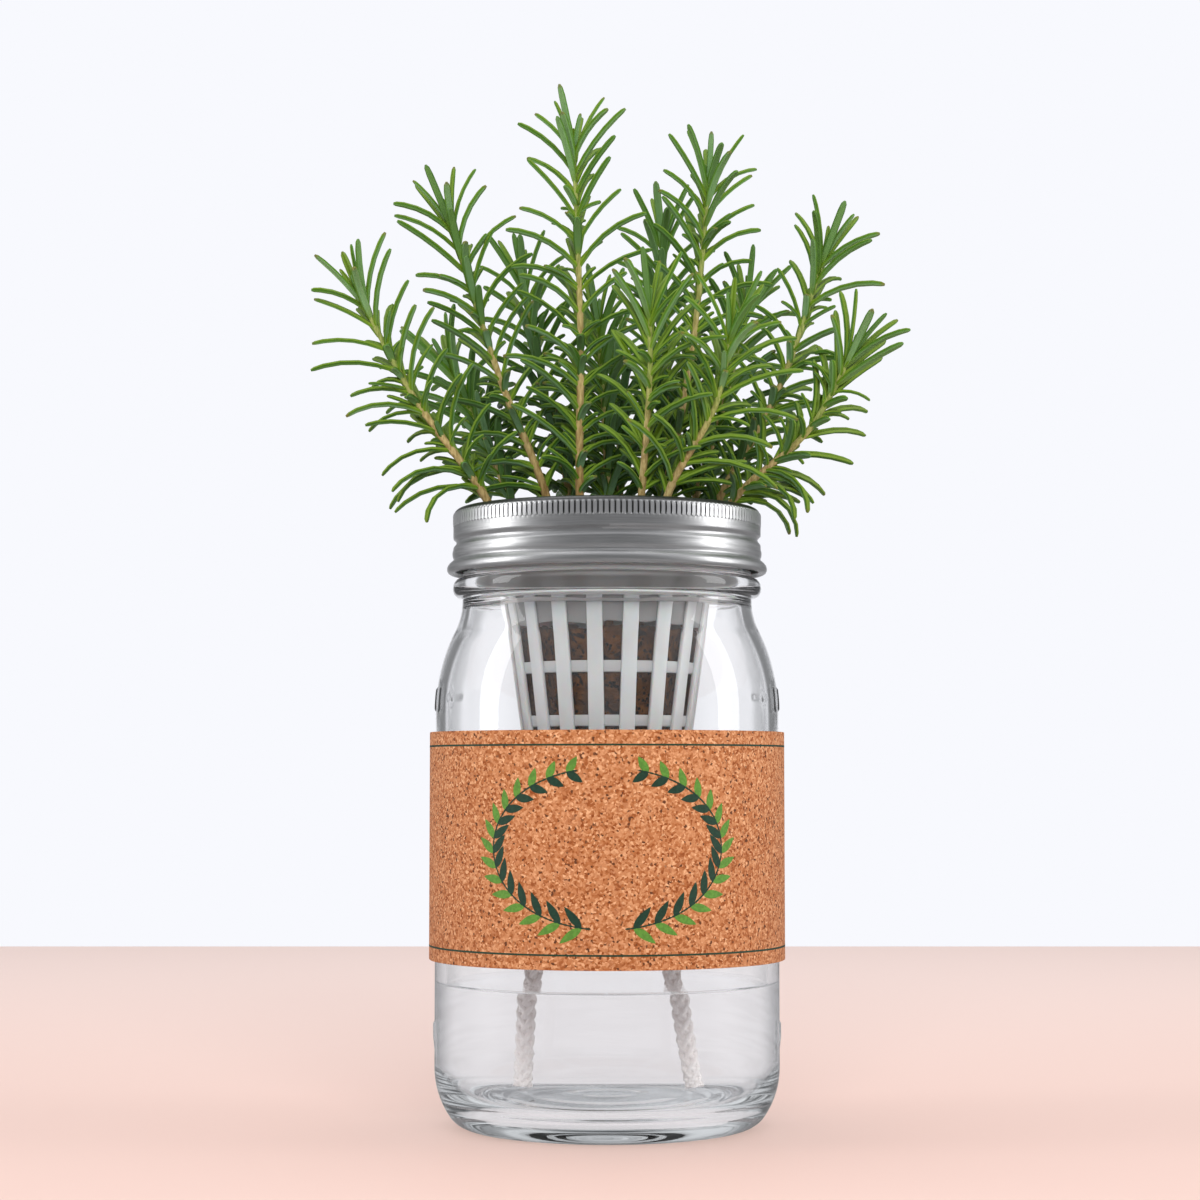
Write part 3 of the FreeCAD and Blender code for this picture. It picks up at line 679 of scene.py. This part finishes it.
shaded_pit = coir_place.cells(620.0).rise(0.25, 0.31)
thread = coir_place.stretched(1.0, 6.0, 1.6, Rotation=(0.5, 0.9, 0.3)).noise(260.0, 2.0)
coir_colour = grain.rise(0.35, 0.65).mix(tint(52, 27, 4), tint(98, 61, 24))
coir_colour = (patch.rise(0.4, 0.7) * 0.6).mix(coir_colour, tint(69, 43, 18))
coir_colour = thread.rise(0.59, 0.62).mix(coir_colour, tint(20, 11, 4))
# Painted shade: near black in the small pits, which the relief also sinks
shaded_pit.mix(tint(8, 5, 3), coir_colour).into(coir_shader, "Base Color")
(grain * 0.7 + shaded_pit * 0.8).relief(coir_shader, 0.8, 0.5)
plug = into_object("plug_block", plug_shape, coir)
settle(plug, "plug", "coir", "growing_plug", crease=80)


# The screw band: tinplate, rolled to a flat lip, a knurled edge, a thread groove that winds once
# round the skirt, and an open curl at its foot. It screws down over the cup's flange.
tooth_count = 176
band_columns = tooth_count * 4
band_face, knurl_low, sheet_thick = 44.0, 169.6, 0.4
band_points = [
    (38.55, 174.25), (38.62, 174.62), (38.9, 174.88), (39.4, 174.95), (40.6, 174.95),
    *arc((41.7, 172.65), 2.3, 90, 25, 6), (43.95, 173.3),
    *[(band_face, z) for z in (172.9, 172.0, 171.0, 170.2, 169.7)],
    *[(band_face, 169.0 - 0.45 * row) for row in range(14)],
    (44.2, 162.6), (44.25, 161.9), (44.15, 161.2), (43.9, 160.6), (43.9, 160.3), (44.15, 159.95),
    (44.6, 159.6), (45.1, 159.15), (45.5, 158.6), (45.75, 157.9), (45.72, 157.2), (45.4, 156.6),
    (44.9, 156.3), (44.3, 156.3), (43.8, 156.6), (43.5, 157.15), (43.5, 157.8),
]
band_shape = turned(band_points, band_columns, False)
groove_height, groove_lead, groove_deep = 165.6, 1.6, 0.9
for vert in band_shape.verts:
    x, y, z = vert.co / MM
    radius = hypot(x, y)
    turn = degrees(atan2(x, -y))
    push = 0.0
    if z > 162.5 and radius > band_face - 0.5:
        off_groove = z - groove_height - groove_lead * turn / 360
        fade = 1 - 0.75 * soft_step(abs(turn), 140, 175)
        dip = (1 - soft_step(off_groove, 0.2, 1.3)) * soft_step(off_groove, -1.7, -0.2)
        push -= groove_deep * fade * dip
    ridge = soft_step(z, knurl_low, knurl_low + 0.5) * (1 - soft_step(z, 173.0, 173.6))
    place = (turn / 360 * tooth_count + 0.125) % 1
    in_slot = abs(place - 0.5) < 0.25
    push += ridge * (-0.42 if in_slot else 0.12)
    wanted = 0.5 + copysign(0.1 if in_slot else 0.17, place - 0.5)
    angle = radians(turn + ridge * (wanted - place) * 360 / tooth_count)
    vert.co.x = (radius + push) * sin(angle) * MM
    vert.co.y = -(radius + push) * cos(angle) * MM
tinplate, tin_wire, tin_shader = finish("tinplate", Metallic=1.0)
tin_place = tin_wire.place()
brush = tin_place.stretched(1.0, 1.0, 26.0).noise(90.0, 3.0, Roughness=0.6)
blotch = tin_place.noise(60.0, 2.0)
tin_colour = brush.rise(0.25, 0.8).mix(tint(190, 190, 190), tint(212, 212, 212))
# Painted light on the knurled edge: a brighter painted sheen from its lower edge up, and near black
# painted shade in the slots between the teeth
painted_knurl_mask = tin_place.level().rise(knurl_low * MM, (knurl_low + 0.4) * MM)
painted_slot_shade = painted_knurl_mask * (1 - tin_place.from_axis().rise(43.6 * MM, 43.95 * MM))
tin_colour = painted_knurl_mask.mix(tin_colour, tint(238, 238, 238))
painted_slot_shade.mix(tin_colour, tint(92, 92, 92)).into(tin_shader, "Base Color")
(0.27 + brush * 0.1 + blotch * 0.06).into(tin_shader, "Roughness")
brush.relief(tin_shader, 0.12, 0.04)
band = into_object("band_tinplate", band_shape, tinplate)
sheet = band.modifiers.new("sheet", "SOLIDIFY")
sheet.thickness, sheet.offset = sheet_thick * MM, -1.0
settle(band, "band", "tinplate", "screw_band", crease=40)


# The cork sleeve: a strip of sheet cork, pressed from fine granules, wrapped round the jar's body
# and butted together at the back. It grips the glass lightly and slides on it.
sleeve_low, sleeve_high, sleeve_in, sleeve_out = 47.2, 111.2, 49.5, 50.45
seam_gap = 0.8
seam_half = degrees(seam_gap / 2 / 50)
sleeve_shape = bmesh.new()
sleeve_ring = [sleeve_shape.verts.new((0, r * MM, z * MM)) for r, z in softened(
    [(sleeve_in, sleeve_low), (sleeve_out, sleeve_low), (sleeve_out, sleeve_high),
     (sleeve_in, sleeve_high)], 0.18)]
strip_end = sleeve_shape.faces.new(sleeve_ring)
swing(sleeve_shape, seam_half)
bmesh.ops.spin(sleeve_shape, geom=[strip_end], cent=(0, 0, 0), axis=(0, 0, 1),
               angle=radians(360 - 2 * seam_half), steps=200)
bmesh.ops.recalc_face_normals(sleeve_shape, faces=sleeve_shape.faces)
cork, cork_wire, cork_shader = finish("sheet_cork", Roughness=0.88)
cork_place = cork_wire.place()
wobble = cork_place.noise(900.0, 2.0).other("Color")
bent_place = cork_wire.node("VectorMath", {0: wobble, 1: (0.0009, 0.0009, 0.0009), 2: cork_place},
                            {"operation": "MULTIPLY_ADD"})
granule = bent_place.cells(1700.0)
granule_tone = cork_wire.node("SeparateColor", {0: granule.other("Color")})
coarse_tone = cork_wire.node("SeparateColor", {0: bent_place.cells(760.0).other("Color")})
cork_colour = granule_tone.node(
    "ValToRGB", {"Fac": granule_tone},
    {"stops": [(0.0, tint(134, 66, 22)), (0.08, tint(150, 82, 38)), (0.3, tint(176, 108, 62)),
               (0.6, tint(189, 126, 82)), (0.88, tint(208, 148, 104)), (1.0, tint(226, 172, 128))]})
cork_colour = (coarse_tone.rise(0.88, 0.92) * 0.4).mix(cork_colour, tint(206, 144, 100))
cork_colour = (coarse_tone.other("Green").rise(0.9, 0.94) * 0.4).mix(cork_colour, tint(158, 92, 52))
cork_colour = granule_tone.other("Blue").rise(0.95, 0.97).mix(cork_colour, tint(96, 54, 30))
cork_colour.into(cork_shader, "Base Color")
(granule.rise(0.1, 0.6) * -0.5 + granule_tone * 0.4).relief(cork_shader, 0.45, 0.2)
sleeve = into_object("cork_strip", sleeve_shape, cork)
settle(sleeve, "sleeve", "cork", "cork_sleeve", crease=45)


# The print on the cork: a garland of plain leaves on two bowed twigs that stand round an empty
# middle, between two fine rules. It is two inks, printed straight on the strip.
inks = {"dark": bmesh.new(), "light": bmesh.new()}
garland_middle, garland_wide, garland_high = 79.5, 33.0, 21.5
leaf_pairs, twig_lengths = 15, 60


def print_on_twig(ink, turn, mirror, lean, length, width, curl):
    """A pointed leaf, or a length of twig, drawn flat where one of the two bowed twigs turns to."""
    angle = radians(turn)
    heading = degrees(atan2(garland_high * cos(angle), -garland_wide * sin(angle))) + lean
    leaf = bmesh.new()
    bmesh.ops.create_grid(leaf, x_segments=10, y_segments=2, size=0.5)
    for vert in leaf.verts:
        share = vert.co.x + 0.5
        half = sin(pi * share ** 0.8) ** 0.85 * width if 0 < share < 1 else 0.0
        vert.co = Vector((share * length, vert.co.y * half + curl * mirror * share * share, 0))
    bmesh.ops.remove_doubles(leaf, verts=leaf.verts, dist=0.001)
    swing(leaf, heading if mirror > 0 else 180 - heading)
    root = (mirror * garland_wide * cos(angle), garland_middle + garland_high * sin(angle), 0)
    bmesh.ops.translate(leaf, verts=leaf.verts, vec=root)
    gather(inks[ink], leaf)


for mirror in (-1, 1):
    for step in range(leaf_pairs):
        for side, ink in ((1, "dark"), (-1, "light")):
            print_on_twig(ink, -78 + 10.6 * step, mirror, side * 38, 7.4 - 0.16 * step, 2.3, 0.5 * side)
    for step in range(twig_lengths):
        print_on_twig("dark", -82 + 2.62 * step, mirror, 0, 2.0, 0.5, 0.0)
rule_length, rule_width = 2 * pi * sleeve_out * 0.985, 0.5
for level in (51.2, 107.2):
    rule = bmesh.new()
    bmesh.ops.create_grid(rule, x_segments=180, y_segments=1, size=0.5)
    for vert in rule.verts:
        vert.co = Vector((vert.co.x * rule_length, level + vert.co.y * rule_width, 0))
    gather(inks["dark"], rule)
ink_colours = {"dark": tint(27, 62, 44), "light": tint(92, 142, 50)}
ink_out = sleeve_out + 0.03
for ink, shape in inks.items():
    # The flat print is laid round the sleeve's face
    for vert in shape.verts:
        angle = vert.co.x / sleeve_out
        vert.co = Vector((ink_out * sin(angle), -ink_out * cos(angle), vert.co.y)) * MM
    ink_finish, ink_wire, ink_shader = finish("ink_" + ink, Roughness=0.7)
    worn = ink_wire.place().noise(1300.0, 2.0)
    shade = tuple(c * 0.75 for c in ink_colours[ink][:3]) + (1.0,)
    worn.rise(0.35, 0.65).mix(shade, ink_colours[ink]).into(ink_shader, "Base Color")
    print_piece = into_object("print_" + ink, shape, ink_finish)
    settle(print_piece, "sleeve", "cork", crease=80)


# The rosemary: fourteen young sprigs rooted in the plug. The stems are woody and tan at the foot
# and green at the tip, and the needle leaves stand in crossed pairs with tufts in their axils.
plug_top_radius, canopy_spread, canopy_rise, band_top, head_room = 25.4, 76.0, 121.0, 174.95, 9.0
# Where each stem stands on the plug and in the cup's mouth, and its middle and tip, across, deep
# and high, in shares of these sizes
sprig_shares = {
    "far_left": ((-0.82, -0.10), (-0.91, -0.11), (-0.73, -0.11, 0.28), (-0.97, -0.13, 0.565)),
    "left": ((-0.52, 0.08), (-0.45, 0.08), (-0.41, 0.11, 0.34), (-0.64, 0.16, 0.79)),
    "tall": ((-0.14, -0.12), (-0.21, -0.14), (-0.10, -0.04, 0.43), (-0.13, 0.00, 0.955)),
    "tall_right": ((0.26, 0.22), (0.43, 0.25), (0.33, 0.16, 0.42), (0.405, 0.19, 0.89)),
    "right": ((0.63, 0.19), (0.84, 0.22), (0.67, 0.16, 0.33), (0.875, 0.20, 0.715)),
    "far_right": ((0.86, -0.10), (0.95, -0.14), (0.76, -0.13, 0.20), (0.95, -0.19, 0.42)),
    "front": ((0.26, -0.32), (0.26, -0.45), (0.157, -0.32, 0.31), (0.15, -0.36, 0.52)),
    "front_right": ((0.62, -0.27), (0.45, -0.50), (0.40, -0.37, 0.24), (0.46, -0.43, 0.455)),
    "back_left": ((-0.52, 0.45), (-0.28, 0.52), (-0.25, 0.40, 0.35), (-0.35, 0.48, 0.68)),
    "back_right": ((0.34, 0.56), (0.45, 0.68), (0.23, 0.45, 0.43), (0.22, 0.53, 0.79)),
    "behind_right": ((0.64, 0.53), (0.68, 0.51), (0.47, 0.40, 0.32), (0.58, 0.48, 0.61)),
    "behind_left": ((-0.80, 0.30), (-0.74, 0.42), (-0.51, 0.35, 0.25), (-0.67, 0.48, 0.455)),
    "middle": ((-0.14, 0.22), (0.00, 0.23), (-0.01, 0.19, 0.26), (-0.04, 0.27, 0.55)),
    "rear": ((0.02, 0.76), (0.10, 0.78), (0.05, 0.56, 0.26), (0.00, 0.72, 0.50)),
}
# A leaf's rings, how wide each is, its section across and up, and how much of that is underside
ring_shares = (0.0, 0.08, 0.26, 0.46, 0.66, 0.85, 0.955, 1.0)
ring_widths = (0.45, 0.8, 0.97, 1.0, 1.0, 0.96, 0.76, 0.28)
leaf_section = ((1.0, -0.1), (0.62, 0.34), (0.0, 0.12), (-0.62, 0.34),
                (-1.0, -0.1), (-0.6, -0.42), (0.0, -0.2), (0.6, -0.42))
leaf_under = (0.45, 0.0, 0.0, 0.0, 0.45, 1.0, 1.0, 1.0)
leaf_maker = bmesh.new()
bmesh.ops.create_cone(leaf_maker, cap_ends=True, segments=8, radius1=1.0, radius2=1.0, depth=1.0)
bmesh.ops.subdivide_edges(
    leaf_maker, cuts=len(ring_shares) - 2,
    edges=[e for e in leaf_maker.edges if abs(e.verts[0].co.z - e.verts[1].co.z) > 0.5])
leaf_mesh = bpy.data.meshes.new("leaf_maker")
leaf_maker.to_mesh(leaf_mesh)
leaf_maker.free()


def stem_line(shares):
    """Points along a sprig's stem, on a smooth curve through its foot, the rim, its middle and tip."""
    foot, mouth, middle, tip = shares
    knots = [
        Vector((foot[0] * plug_top_radius, foot[1] * plug_top_radius, plug_high)),
        Vector((mouth[0] * collar_in, mouth[1] * collar_in, band_top)),
        Vector((middle[0] * canopy_spread, middle[1] * canopy_spread, rim + middle[2] * canopy_rise)),
        Vector((tip[0] * canopy_spread, tip[1] * canopy_spread, rim + tip[2] * canopy_rise)),
    ]
    slopes = [knots[1] - knots[0], (knots[2] - knots[0]) / 2,
              (knots[3] - knots[1]) / 2, knots[3] - knots[2]]
    found = []
    for a, b, slope_a, slope_b in zip(knots, knots[1:], slopes, slopes[1:]):
        reach = (b - a).length / 3
        found += geometry.interpolate_bezier(
            a, a + slope_a.normalized() * reach, b - slope_b.normalized() * reach, b, 24)[:-1]
    return found + [knots[3]]


def leaf_path(root, along, out, stand, arch, length):
    """The places and directions of a leaf's rings as it leaves the stem and arches outwards."""
    places, ways = [root.copy()], []
    for low, high in zip(ring_shares, ring_shares[1:]):
        angle = stand + arch * ((low + high) / 2) ** 1.15
        way = along * cos(angle) + out * sin(angle)
        ways.append(way)
        places.append(places[-1] + way * (length * (high - low)))
    return places, ways + ways[-1:]


low_corner, high_corner = (corner / MM for corner in cad_box)
box_margin, lip_margin, band_outside = 1.1, 1.4, 47.6


def fits(places):
    """Whether a leaf stays in the planter's room, and over the band's lip or outside its skirt."""
    for place in places:
        if any(not low + box_margin < v < high - box_margin
               for v, low, high in zip(place, low_corner, high_corner)):
            return False
        if place.z < band_top + lip_margin and hypot(place.x, place.y) < band_outside:
            return False
    return True


def add_leaf(shape, layers, root, along, out, stand, arch, length, width, age, tone):
    """One needle leaf, shaped on the maker's rings. It is shortened until it fits."""
    for attempt in range(6):
        places, ways = leaf_path(root, along, out, stand, arch, length)
        if fits(places[1:]):
            break
        length *= 0.88
        stand *= 0.9
    else:
        return
    begin = len(shape.verts)
    shape.from_mesh(leaf_mesh)
    shape.verts.ensure_lookup_table()
    side = along.cross(out).normalized()
    for vert in shape.verts[begin:]:
        ring = round((vert.co.z + 0.5) * (len(ring_shares) - 1))
        corner = round(degrees(atan2(vert.co.y, vert.co.x)) / 45) % 8
        across, up = leaf_section[corner]
        top = side.cross(ways[ring]).normalized()
        half = width / 2 * ring_widths[ring]
        vert.co = (places[ring] + side * (across * half)
                   + top * (up * ring_widths[ring] ** 0.5 * width * 0.7)) * MM
        vert[layers["leaf_under"]] = leaf_under[corner]
        vert[layers["leaf_across"]] = abs(across)
        vert[layers["leaf_along"]] = ring_shares[ring]
        vert[layers["leaf_age"]] = age
        vert[layers["leaf_tone"]] = tone


# Above the jar's rim: where the leaves start, and up to where they droop and are thick at the foot
leaf_start, droop_height, thick_height = 2.8, 14, 42
leaf_spacing, bud_count = 3.5, 6


def grow(name, shares):
    """A sprig: its stem as a tapering tube with a swelling at each pair of leaves, and its leaves."""
    chance = random.Random("sprig " + name)
    between = chance.uniform
    open_face = shares[3][1] < 0.25
    line = stem_line(shares)
    sprig_top = line[-1]
    while (line[-1] - sprig_top).length < head_room:
        line.pop()
    travelled = travel(line)
    whole = travelled[-1]
    radii = []
    for far in travelled:
        share = far / whole
        swelling = 0.1 * max(0.0, cos(pi * far / leaf_spacing)) ** 4
        radii.append((1.5 - 0.85 * share) * (1 + swelling) if share < 0.985 else 0.5)
    curve = new_curve(name, 2)
    tube_splines(curve, [place * MM for place in line], radii)
    shape = bmesh.new()
    shape.from_mesh(finished_mesh(placed(name, curve)))
    bmesh.ops.recalc_face_normals(shape, faces=shape.faces)
    layers = {key: shape.verts.layers.float.new(key)
              for key in ("leaf_under", "leaf_across", "leaf_along", "leaf_age", "leaf_tone")}
    for vert in shape.verts:
        nearest = min(range(0, len(line), 2), key=lambda k: (line[k] * MM - vert.co).length_squared)
        vert[layers["leaf_age"]] = 1 - travelled[nearest] / whole
    stem_faces = len(shape.faces)

    def leaf(root, way, out, stand, arch, length, width, age):
        """A leaf on this sprig, of a tone by chance, with its stand and its arch in degrees."""
        add_leaf(shape, layers, root, way, out, radians(stand), radians(arch), length, width, age,
                 chance.random())

    far, turn, step = 0.0, between(-0.4, 0.4), 0
    while far < whole - 0.4:
        while travelled[step + 1] < far:
            step += 1
        share = far / whole
        way = (line[step + 1] - line[step]).normalized()
        root = line[step] + way * (far - travelled[step])
        if root.z > rim + leaf_start:
            tip = soft_step(share, 0.8, 1.0)
            for twin in range(2):
                angle = turn + twin * pi + between(-0.28, 0.28)
                out = around(way, angle)
                droop = 1.0 if root.z < rim + droop_height and out.z < -0.25 else 0.0
                stand = 44 - 14 * share - 6 * tip + 6 * droop + between(-8, 8)
                arch = (66 - 34 * share + between(-22, 18)) * (1 - 0.3 * out.z)
                length = between(18.5, 26.5) * (1 - 0.1 * tip) + 3 * droop
                if open_face and out.y < -0.5 and share < 0.9:
                    length *= chance.choice((0.0, 0.0, 0.35, 0.6))
                if length > 5:
                    leaf(root, way, out, stand, arch, length,
                         between(2.25, 2.65) * (1 - 0.08 * tip), 1 - share)
                for tuft in range(2 if chance.random() < 0.35 and share < 0.6 else 1):
                    tuft_out = around(way, angle + between(0.15, 0.7) * chance.choice((-1, 1)))
                    if share > 0.9 or open_face and tuft_out.y < -0.4 and chance.random() < 0.85:
                        continue
                    leaf(root + way * 1.2, way, tuft_out, between(26, 50), between(10, 55),
                         between(6, 13), between(1.5, 2.0), 0.5 - 0.4 * share)
            if abs(shares[1][0]) > 0.9 and root.z < rim + droop_height and chance.random() < 0.7:
                away = Vector((root.x, root.y + between(-26, 16), 0))
                away = (away - way * away.dot(way)).normalized()
                leaf(root, way, away, between(26, 46), between(82, 116), between(22, 29), 2.4, 1.0)
            if root.z < rim + thick_height:
                leaf(root, way, around(way, between(0.2, 2.9)), between(30, 60), between(30, 80),
                     between(11, 19), between(1.9, 2.3), 1 - share)
        turn += pi / 2 + between(-0.12, 0.12)
        far += leaf_spacing * (1 - 0.3 * soft_step(share, 0.85, 1.0)) * between(0.9, 1.1)
    for bud in range(bud_count):
        out = around(way, turn + bud * 2.4 + between(-0.2, 0.2))
        leaf(line[-1] - way * (0.3 + 0.3 * bud), way, out, between(1, 5) + 4 * bud, between(4, 24),
             min(21.5, 9 + 4.6 * bud) + between(-1, 1), 1.4 + 0.17 * bud, 0.0)
    shape.faces.ensure_lookup_table()
    for face in shape.faces[stem_faces:]:
        face.material_index = 1
    return shape


bark, bark_wire, bark_shader = finish("rosemary_stem", Roughness=0.75)
stem_age = bark_wire.node("Attribute", {}, {"attribute_name": "leaf_age"}, output="Fac")
bark_grain = bark_wire.place().stretched(1.0, 1.0, 0.2).noise(1500.0, 3.0)
brown = bark_grain.rise(0.3, 0.7).mix(tint(100, 66, 26), tint(154, 114, 58))
tan = bark_grain.rise(0.3, 0.7).mix(tint(144, 120, 70), tint(190, 170, 116))
green_bark = bark_grain.rise(0.3, 0.7).mix(tint(114, 130, 56), tint(156, 166, 90))
woody = stem_age.rise(0.5, 0.85).mix(tan, brown)
stem_age.rise(0.15, 0.4).mix(green_bark, woody).into(bark_shader, "Base Color")
bark_grain.relief(bark_shader, 0.5, 0.15)

needle, needle_wire, needle_shader = finish("rosemary_leaf", Specular_IOR_Level=0.2)


def leaf_value(name):
    """A value that each leaf's mesh carries."""
    return needle_wire.node("Attribute", {}, {"attribute_name": name}, output="Fac")


mottle = needle_wire.place().noise(420.0, 2.0)
under, leaf_age, leaf_tone = leaf_value("leaf_under"), leaf_value("leaf_age"), leaf_value("leaf_tone")
across_leaf, along_leaf = leaf_value("leaf_across"), leaf_value("leaf_along")
old_middle = leaf_tone.mix(tint(74, 110, 56), tint(112, 148, 112))
old_edge = leaf_tone.mix(tint(44, 80, 4), tint(68, 104, 10))
young_middle = leaf_tone.mix(tint(90, 130, 56), tint(122, 160, 106))
young_edge = leaf_tone.mix(tint(58, 100, 10), tint(80, 124, 20))
age_step, edge_step = leaf_age.rise(0.0, 0.45), across_leaf.rise(0.55, 0.95)
top_green = edge_step.mix(age_step.mix(young_middle, old_middle), age_step.mix(young_edge, old_edge))
top_green = (mottle.rise(0.4, 0.8) * 0.2).mix(top_green, tint(92, 126, 84))
pale_under = across_leaf.rise(0.1, 0.5).mix(tint(88, 116, 12), tint(108, 136, 44))
foot_yellow = (1 - along_leaf.rise(0.0, 0.3)) * 0.55
sides = under.rise(0.35, 0.7).mix(top_green, pale_under)
sides = foot_yellow.mix(sides, tint(116, 144, 20))
brown_tip = along_leaf.rise(0.93, 1.0) * leaf_tone.rise(0.6, 0.8) * 0.6
brown_tip.mix(sides, tint(120, 96, 50)).into(needle_shader, "Base Color")
(0.38 + mottle * 0.16).into(needle_shader, "Roughness")
mottle.relief(needle_shader, 0.12, 0.08)
for sprig_name, shares in sprig_shares.items():
    sprig = into_object("rosemary_" + sprig_name, grow(sprig_name, shares), bark, needle)
    settle(sprig, "plug", "rosemary", "sprig_" + sprig_name, crease=70)
